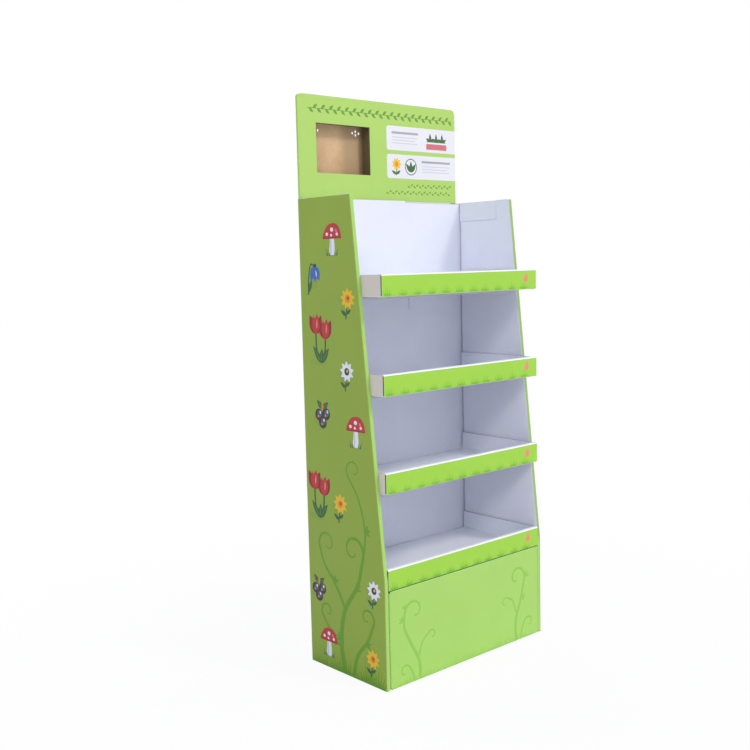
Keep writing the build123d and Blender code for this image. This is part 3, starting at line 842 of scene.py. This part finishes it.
class STAND_OT_side_print(bpy.types.Operator):
    """Lay the printed paper on both side panels and round their front folds"""

    bl_idname = "stand.side_print"
    bl_label = "Side panel print"

    def execute(self, context):
        wrap = Wrap([(X_OUT, DEPTH), (X_OUT, 0), (X_IN, 0), (X_IN, 60)])
        end = wrap.begin[4] - size("wrap")
        top = SIDE_H - SHORT
        rear = side_front(top) - Y_FRONT
        flap_rear = rear + WALL + FLAP_GAP
        flap_front = flap_rear + FLAP_W
        bend = SIDE_H - FOLD_R
        quarter = FOLD_R * math.pi / 2
        over = bend + quarter + 3
        beside_base = wrap.begin[4] + 1
        outline = [(0, 0), (beside_base, 0), (beside_base, BASE_HIGH[2]), (end, KNEE_H), (end, top),
                   (flap_front, top), (flap_front, over), (flap_rear, over), (flap_rear, top), (rear, top),
                   (0, KNEE_H)]
        folds = wrap.folds(-PAST, over + PAST) + [[(-PAST, KNEE_H), (end + PAST, KNEE_H)]]
        folds += [[(flap_rear - PAST, z), (flap_front + PAST, z)]
                  for z in np.linspace(bend, bend + quarter, FOLD_LINES)]
        shapes = [(ink, np.stack([side_front(z[:, 1]) + DEPTH - z[:, 0], z[:, 1]], 1))
                  for ink, z in side_artwork()]
        front_fold = wrap.arcs[0].mean()
        shapes.append(("lime", field(front_fold, beside_base + PAST, -PAST, SIDE_H + PAST)))
        edge = [("edge", field(front_fold, beside_base + PAST, KNEE_H, SIDE_H + PAST)),
                ("edge", field(front_fold, wrap.begin[2] + 2, -PAST, KNEE_H))]
        for name, sign, shaded_fold in (("left_side_print", -1, []), ("right_side_print", 1, edge)):

            def place(flat, sign=sign):
                s, z = flat.T
                plan, normal = wrap.at(s)
                # The tuck flap bends over the top: x and z follow the arc, then run inwards
                flap = (z > bend) & (s >= flap_rear - 0.01) & (s <= flap_front + 0.01)
                turn = np.where(flap, np.clip((z - bend) / FOLD_R, 0, math.pi / 2), 0)
                run = np.where(flap, np.maximum(z - bend - quarter, 0), 0)
                x = plan[:, 0] - FOLD_R * (1 - np.cos(turn)) - run
                height = np.where(flap, bend + FOLD_R * np.sin(turn), z)
                return (np.stack([sign * x, plan[:, 1] + side_front(height), height], 1),
                        np.stack([sign * normal[:, 0] * np.cos(turn), normal[:, 1], np.sin(turn)], 1))

            # The side panels' ground ink is painted shade, a darker copy of the lime
            printed_paper(name, "side", outline, folds, shapes + shaded_fold, place,
                          lambda flat: wrap.crease(flat[:, 0]))
        return {"FINISHED"}


class STAND_OT_lip_print(bpy.types.Operator):
    """Lay the printed paper over the lip of every tray"""

    bl_idname = "stand.lip_print"
    bl_label = "Lip print"

    def execute(self, context):
        rear = Y_FRONT + WALL
        wrap = Wrap([(rear, 0), (Y_FRONT, 0), (Y_FRONT, LIP_H), (rear, LIP_H), (rear, LIP_H - 20)])
        foot = wrap.arcs[0].mean()
        end = wrap.begin[6] + 2
        outline = [(-TRAY_X, foot), (TRAY_X, foot), (TRAY_X, end), (-TRAY_X, end)]
        folds = wrap.folds(-TRAY_X - PAST, TRAY_X + PAST, True, (foot, end))
        shapes = lip_artwork(wrap.begin[2] - FOLD_R)
        for name in TRAYS:
            low = box(name)[1][2] - LIP_H

            def place(flat, low=low):
                section, normal = wrap.at(flat[:, 1])
                return np.column_stack([flat[:, 0], section + (0, low)]), np.insert(normal, 0, 0, axis=1)

            printed_paper(name.replace("shelf_tray", "lip_print"), "pale", outline, folds, shapes, place,
                          lambda flat: wrap.crease(flat[:, 1]))
        return {"FINISHED"}


class STAND_OT_base_print(bpy.types.Operator):
    """Lay the printed paper on the base panel and round its four folds"""

    bl_idname = "stand.base_print"
    bl_label = "Base print"

    def execute(self, context):
        x, y, low, high = BASE_HIGH[0], BASE_LOW[1], BASE_LOW[2], BASE_HIGH[2]
        across = Wrap([(x, y + 40), (x, y), (-x, y), (-x, y + 40)])
        upward = Wrap([(y + 40, low), (y, low), (y, high), (y + 40, high)])
        # The print turns 6 mm in at the sides and on top, 1 mm under the foot
        u0, u1 = across.begin[1] - 6, across.begin[4] + 6
        f0, f1 = across.begin[2:4]
        v0, v1 = upward.begin[1] - 1, upward.begin[4] + 6
        g0, g1 = upward.begin[2] + 2, upward.begin[3] - 2
        outline = [(u0, g0), (f0, g0), (f0, v0), (f1, v0), (f1, g0), (u1, g0), (u1, g1), (f1, g1), (f1, v1),
                   (f0, v1), (f0, g1), (u0, g1)]
        folds = across.folds(v0 - PAST, v1 + PAST) + upward.folds(u0 - PAST, u1 + PAST, True, (v0, v1))
        shapes = mirrored(base_artwork(), (f0 + f1) / 2, upward.begin[2] - FOLD_R)
        # Painted shadow: a dark line along the top fold, where the gap under the lowest lip is in shade
        shapes.append(("forest", field(f0 - 20, f1 + 20, upward.begin[3] + 2.2, v1 + PAST)))

        def place(flat):
            plan, n = across.at(flat[:, 0])
            section, m = upward.at(flat[:, 1])
            out = -np.sqrt(np.maximum(0, 1 - n[:, 0] ** 2 - m[:, 1] ** 2))
            return (np.stack([plan[:, 0], plan[:, 1] + section[:, 0] - y, section[:, 1]], 1),
                    np.stack([n[:, 0], out, m[:, 1]], 1))

        printed_paper("base_print", "lime", outline, folds, shapes, place,
                      lambda flat: np.maximum(across.crease(flat[:, 0]), upward.crease(flat[:, 1])))
        return {"FINISHED"}


class STAND_OT_header_print(bpy.types.Operator):
    """Lay the printed paper on the header card and round its left fold"""

    bl_idname = "stand.header_print"
    bl_label = "Header print"

    def execute(self, context):
        wrap = Wrap([(HEADER_X, HEADER_FRONT), (-X_OUT, HEADER_FRONT), (-X_OUT, Y_BACK), (0, Y_BACK)])
        first, last = wrap.begin[[1, 4]]
        # The print ends 22 mm round the fold, on the card's back
        end = last + 22
        corner = HEADER_CORNER_R
        rounding = np.linspace(0, math.pi / 2, 9)
        right_end = np.stack([corner * (1 - np.cos(rounding)), STAND_H - corner * (1 - np.sin(rounding))], 1)
        # Towards the left fold the card's top follows a quarter circle of its distance from the fold
        s = np.concatenate([np.linspace(first - corner + FOLD_R, first, 12), np.linspace(first, last, 13)[1:],
                            np.linspace(last, last + corner - FOLD_R, 12)[1:]])
        inset = np.clip(corner - (wrap.at(s)[0][:, 0] + X_OUT), 0, corner)
        left_end = np.stack([s, STAND_H - corner + np.sqrt(corner ** 2 - inset ** 2)], 1)
        outline = np.concatenate([[(0, SIDE_H)], right_end, left_end, [(end, STAND_H), (end, SIDE_H)]])[::-1]
        folds = wrap.folds(SIDE_H - PAST, STAND_H + PAST)
        shapes = mirrored([*header_artwork(), (None, field(*WINDOW))], HEADER_X)

        def place(flat):
            plan, normal = wrap.at(flat[:, 0])
            return np.column_stack([plan, flat[:, 1]]), np.insert(normal, 2, 0, axis=1)

        printed_paper("header_print", "header", outline, folds, shapes, place,
                      lambda flat: wrap.crease(flat[:, 0]))
        return {"FINISHED"}


class STAND_OT_cut_edges(bpy.types.Operator):
    """Show the corrugation at every cut edge that can be seen"""

    bl_idname = "stand.cut_edges"
    bl_label = "Cut edges"

    def execute(self, context):
        pitch, thin = size("flute_pitch"), size("thin_flute_pitch")
        half = BOARD / 2
        fold = side_front(SIDE_H)
        flap_rear = Y_BACK - WALL - FLAP_GAP
        flap_front = flap_rear - FLAP_W
        for name, sign in (("left_side", -1), ("right_side", 1)):
            outer, inner, bent = sign * (X_OUT - half), sign * (X_IN + half), sign * FOLD_R / 2
            runs = [((x, y, SIDE_H), across, UP, pitch) for x, y, across in (
                (outer, (fold + FOLD_R, flap_front), RIGHT), (outer, (flap_rear, Y_BACK), RIGHT),
                (inner, (fold + FOLD_R, flap_front - 1), RIGHT),
                ((inner + bent, outer - bent), fold + half, BACK))]
            runs.append(((outer, Y_BACK, (0, SIDE_H)), RIGHT, BACK))
            add_cut_edges(name + "_cut_edges", runs, "printed_board")
        front, rear = HEADER_FRONT + half, Y_BACK - half
        runs = []
        for y in (front, rear):
            runs += [(((HEADER_CORNER_R - X_OUT, HEADER_X - HEADER_CORNER_R), y, STAND_H), BACK, UP, pitch),
                     ((HEADER_X, y, (SIDE_H, STAND_H - HEADER_CORNER_R)), BACK, RIGHT)]
        add_cut_edges("header_cut_edges", runs, "printed_board")
        runs = []
        for y, margin in ((front, 0), (rear, WINDOW_MARGIN)):
            x0, x1, z0, z1 = np.array(WINDOW) + margin * np.array([-1, 1, -1, 1])
            runs += [(((x0, x1), y, z0), BACK, UP, pitch), (((x0, x1), y, z1), BACK, -UP, pitch),
                     ((x0, y, (z0, z1)), BACK, RIGHT), ((x1, y, (z0, z1)), BACK, -RIGHT)]
        # Darker colours than the header's other cut edges: painted shade in the window's recess
        add_cut_edges("window_cut_edges", runs, "printed_board", "94896E", "5A5348", "7A7264")
        end = X_OUT - 2 * BOARD - 2 * SLIP
        runs = [((x, Y_BACK - WALL + half, SIDE_H + z), BACK, UP, pitch)
                for x, z in zip(((-end, BACK_STEP_X), (BACK_STEP_X, end)), BACK_STEP_H)]
        add_cut_edges("back_cut_edges", runs, "white_board", "E4E3E4")
        for name in TRAYS:
            low = box(name)[1][2] - LIP_H
            floor = low + half
            wall_y = (Y_FRONT + WALL + SLIP, TRAY_REAR - BOARD)
            walls, lips = [], []
            for sign in (-1, 1):
                away, slit = sign * RIGHT, sign * SLIT_X
                walls += [((sign * (TRAY_X - half), wall_y, low + TRAY_SIDE_H), RIGHT, UP, pitch),
                          ((slit, (SLIT_REAR - SLIT_L, SLIT_REAR), floor), UP, -away, None, BOARD - 1),
                          (((slit, slit - sign * SLIT_W), SLIT_REAR, floor), UP, -BACK, None, BOARD - 1)]
                lips.append(((sign * TRAY_X, Y_FRONT + half, (low + FOLD_R, low + LIP_H - FOLD_R)), BACK,
                             away, pitch))
            # The lips' cut edges take darker colours than the tray walls': painted shade at the lips' ends
            for part, runs, codes in (("tray_cut_edges", walls, ("DDDCE2", "98949C", "C4C1C4")),
                                      ("lip_cut_edges", lips, ("A6A3A4", "454049", "7E7870"))):
                add_cut_edges(name.replace("shelf_tray", part), runs, "tray_board", *codes)
        (x0, y, z0), (x1, _, z1) = SCREEN_LOW + (0, THIN_BOARD / 2, 0), SCREEN_HIGH
        wide, tall = (x0 + BOX_CORNER, x1 - BOX_CORNER), (z0 + BOX_CORNER, z1 - BOX_CORNER)
        runs = [((wide, y, z1), BACK, UP, thin, THIN_BOARD), ((wide, y, z0), BACK, -UP, thin, THIN_BOARD),
                ((x0, y, tall), BACK, -RIGHT, None, THIN_BOARD),
                ((x1, y, tall), BACK, RIGHT, None, THIN_BOARD)]
        add_cut_edges("screen_box_cut_edges", runs, "brown_board", "C9A47E", "7A5B3E")
        return {"FINISHED"}


class STAND_OT_studio(bpy.types.Operator):
    """Set up the floor, the light, the white background and the camera"""

    bl_idname = "stand.studio"
    bl_label = "Studio"

    def execute(self, context):
        scene = context.scene
        scene.view_settings.view_transform = "Standard"
        scene.world = bpy.data.worlds.new("studio")
        scene.world.use_nodes = True
        tree = scene.world.node_tree
        tree.nodes.clear()
        path = node(tree, "LightPath").outputs
        seen = path["Is Camera Ray"]
        for ray in ("Is Glossy Ray", "Is Transmission Ray"):
            seen = node(tree, "Math", {0: seen, 1: path[ray]}, operation="MAXIMUM")
        ambient = node(tree, "Background", {"Color": rgba("CFDCFF"), "Strength": 0.48})
        white = node(tree, "Background", {"Color": rgba("FFFFFF"), "Strength": 1.0})
        mixed = node(tree, "MixShader", {0: seen, 1: ambient, 2: white})
        node(tree, "OutputWorld", {"Surface": mixed})
        self.add_lights()
        self.add_floor()
        self.add_camera(scene)
        return {"FINISHED"}

    def add_lights(self):
        """Distant lamps: azimuth in degrees right of the stand's front, elevation above the horizon."""
        for name, azimuth, elevation, strength, angle, tint in (
                ("key_light", 24, 43, 0.98, 12, "FFF8EE"),
                ("front_light", 6, 12, 0.56, 70, "FFFAF2"),
                ("side_light", 66, 36, 0.5, 25, "FFF8EC"),
                ("fill_light", -52, 30, 0.62, 14, "FFF6EC"),
                ("rear_light", 160, 34, 0.72, 40, "FFF4E2")):
            lamp = bpy.data.lights.new(name, "SUN")
            lamp.energy = strength
            lamp.angle = math.radians(angle)
            lamp.color = linear(tint)
            add_object(name, lamp).rotation_euler = (math.radians(90 - elevation), 0, math.radians(azimuth))

    def add_floor(self):
        """Round white floor that fades into the background, in rings of radius 30 t^2 metres."""
        ring = np.linspace(0.0, 1.0, 24)[1:] ** 2 * 30
        turn = np.linspace(0, 2 * np.pi, 64, endpoint=False)
        r, t = np.meshgrid(ring, turn, indexing="ij")
        # It lies 0.3 mm under the stand's foot
        points = np.stack([r * np.cos(t), r * np.sin(t), 0 * r - 0.3 * MM], -1).reshape(-1, 3)
        quads = ring_quads(len(ring), len(turn))[:, ::-1]
        mesh = bpy.data.meshes.new("floor")
        mesh.from_pydata(points.tolist(), [], [*quads.tolist(), list(range(len(turn)))])
        material, tree, where = new_material("studio_floor")
        matt = node(tree, "BsdfPrincipled", {"Base Color": rgba("F2F2F2"), "Roughness": 0.9,
                                             "Specular IOR Level": 0.0})
        far = node(tree, "VectorMath", {0: where}, operation="LENGTH")
        # The floor turns plain white between 0.4 and 1.5 m from the middle of the stand
        fade = node(tree, "MapRange", {"Value": far, "From Min": 0.4, "From Max": 1.5, "To Min": 0.93})
        camera_ray = node(tree, "LightPath").outputs["Is Camera Ray"]
        seen = node(tree, "Math", {0: fade, 1: camera_ray}, operation="MULTIPLY")
        glow = node(tree, "Emission", {"Color": rgba("FFFFFF"), "Strength": 1.0})
        mixed = node(tree, "MixShader", {0: seen, 1: matt, 2: glow})
        node(tree, "OutputMaterial", {"Surface": mixed})
        mesh.materials.append(material)
        floor = add_object("floor", mesh)

    def add_camera(self, scene):
        """Camera at the photograph's place: rolled, tilted from straight down to its pitch, then turned."""
        camera = add_object("camera", bpy.data.cameras.new("camera"))
        camera.data.sensor_width = SENSOR
        camera.data.lens = FOCAL_PIXELS * SENSOR / IMAGE_PIXELS
        camera.data.clip_end = 100
        turn = Matrix.Rotation(-CAMERA_AZIMUTH, 4, "Z") @ Matrix.Rotation(math.pi / 2 - CAMERA_PITCH, 4, "X")
        roll = Matrix.Rotation(CAMERA_ROLL, 4, "Z")
        camera.matrix_world = Matrix.Translation(Vector(CAMERA_PLACE) * MM) @ turn @ roll
        scene.camera = camera


class STAND_PT_panel(bpy.types.Panel):
    """Lists the steps that dress the stand, with their sizes and colours"""

    bl_label = "Display stand"
    bl_idname = "STAND_PT_panel"
    bl_space_type = "VIEW_3D"
    bl_region_type = "UI"
    bl_category = "Display stand"

    def draw(self, context):
        for operator in OPERATORS:
            self.layout.operator(operator.bl_idname)
        for group in (context.scene.stand_sizes, context.scene.stand_colours):
            for key in group.bl_rna.properties.keys():
                if key not in ("rna_type", "name"):
                    self.layout.prop(group, key)


OPERATORS = (STAND_OT_board_finish, STAND_OT_side_print, STAND_OT_lip_print, STAND_OT_base_print,
             STAND_OT_header_print, STAND_OT_cut_edges, STAND_OT_studio)
CLASSES = (StandSizes, StandColours, *OPERATORS, STAND_PT_panel)


def register():
    """Registers the classes and gives the scene its settings."""
    for cls in CLASSES:
        bpy.utils.register_class(cls)
    bpy.types.Scene.stand_sizes = PointerProperty(type=StandSizes)
    bpy.types.Scene.stand_colours = PointerProperty(type=StandColours)


def unregister():
    """Takes the settings and the classes away again."""
    del bpy.types.Scene.stand_sizes
    del bpy.types.Scene.stand_colours
    for cls in reversed(CLASSES):
        bpy.utils.unregister_class(cls)


def main():
    """Dresses the stand step by step."""
    register()
    for operator in OPERATORS:
        group, call = operator.bl_idname.split(".")
        getattr(getattr(bpy.ops, group), call)()


if __name__ == "__main__":
    main()
